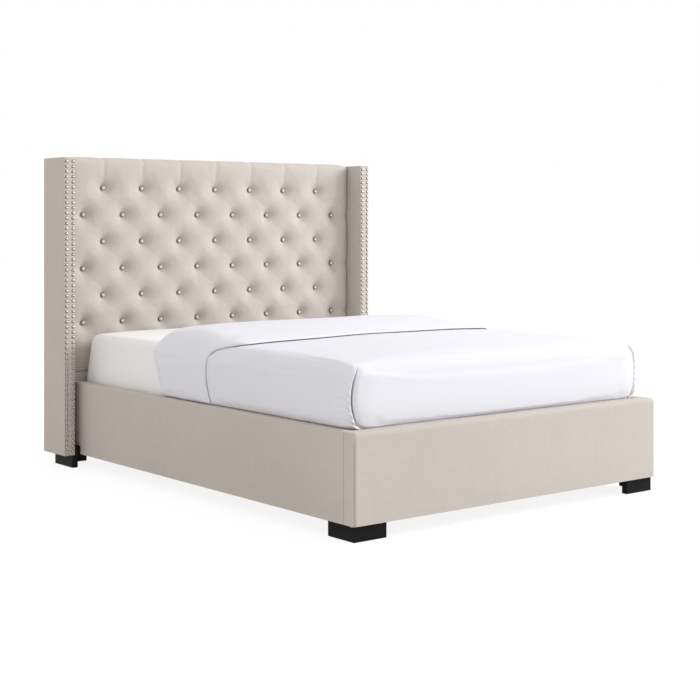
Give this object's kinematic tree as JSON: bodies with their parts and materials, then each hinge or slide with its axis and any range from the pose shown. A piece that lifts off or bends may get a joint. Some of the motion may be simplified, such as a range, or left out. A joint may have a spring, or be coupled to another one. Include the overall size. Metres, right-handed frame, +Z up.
{
  "type": "wingback bed",
  "caption": "Upholstered wingback bed with a diamond-tufted headboard, nailhead wings, box rails and footboard on low black feet, made up with mattress and duvet.",
  "frame": {"origin": "on the floor, at the centre of the bed's footprint", "axes": "+Z up, +Y towards the headboard, +X to the right seen from the foot end"},
  "size_m": [1.822, 2.256, 1.454],
  "materials": {
    "linen": "beige linen weave over foam",
    "dust_cover": "black spun dust cloth on thin board",
    "pine": "planed pine",
    "plywood": "raw plywood",
    "slat_wood": "planed slats",
    "black_wood": "satin black paint",
    "antique_metal": "antique pewter",
    "crystal": "cut clear crystal",
    "zinc_steel": "zinc plated",
    "black_steel": "black powder coat",
    "glide_nylon": "black nylon on a steel stud",
    "mattress_ticking": "white ticking over foam and springs",
    "sheet_cotton": "off-white cotton percale",
    "duvet_cotton": "white cotton, quilted filling"
  },
  "bodies": {
    "bed_frame": {"beam_saddle_foot": "black_steel", "beam_saddle_head": "black_steel", "centre_beam": "pine", "centre_leg_bolts": "zinc_steel", "centre_leg_foot": "pine", "centre_leg_head": "pine", "centre_leg_middle": "pine", "corner_bracket_foot_left": "black_steel", "corner_bracket_foot_right": "black_steel", "corner_bracket_head_left": "black_steel", "corner_bracket_head_right": "black_steel", "foot_block_left": "pine", "foot_block_right": "pine", "foot_front_left": "black_wood", "foot_front_right": "black_wood", "foot_rear_left": "black_wood", "foot_rear_right": "black_wood", "foot_screws": "zinc_steel", "footboard_core": "pine", "footboard_cover": "linen", "frame_bolts": "zinc_steel", "headboard_back_cover": "dust_cover", "headboard_bottom_rail": "pine", "headboard_lower_pad": "linen", "headboard_middle_rail": "pine", "headboard_panel": "plywood", "headboard_stile_left": "pine", "headboard_stile_right": "pine", "headboard_top_rail": "pine", "nailheads_left": "antique_metal", "nailheads_right": "antique_metal", "side_rail_core_left": "pine", "side_rail_core_right": "pine", "side_rail_cover_left": "linen", "side_rail_cover_right": "linen", "slat_cleat_left": "pine", "slat_cleat_right": "pine", "slat_screws": "zinc_steel", "slats": "slat_wood", "tuft_button_crystals": "crystal", "tuft_button_rims": "antique_metal", "tufted_pad": "linen", "wing_bolts": "zinc_steel", "wing_core_left": "pine", "wing_core_right": "pine", "wing_cover_left": "linen", "wing_cover_right": "linen"},
    "bedding": {"mattress": "mattress_ticking", "fitted_sheet": "sheet_cotton", "duvet": "duvet_cotton"},
    "glide_foot": {"levelling_glide_foot": "glide_nylon"},
    "glide_middle": {"levelling_glide_middle": "glide_nylon"},
    "glide_head": {"levelling_glide_head": "glide_nylon"}
  },
  "joints": [
    {"name": "bedding_lift", "type": "slide", "parent": "bed_frame", "child": "bedding", "axis": [0, 0, 1], "range_m": [0, 0.4]},
    {"name": "glide_foot_screw", "type": "slide", "parent": "bed_frame", "child": "glide_foot", "axis": [0, 0, -1], "range_m": [0, 0.012]},
    {"name": "glide_middle_screw", "type": "slide", "parent": "bed_frame", "child": "glide_middle", "axis": [0, 0, -1], "range_m": [0, 0.012]},
    {"name": "glide_head_screw", "type": "slide", "parent": "bed_frame", "child": "glide_head", "axis": [0, 0, -1], "range_m": [0, 0.012]}
  ]
}
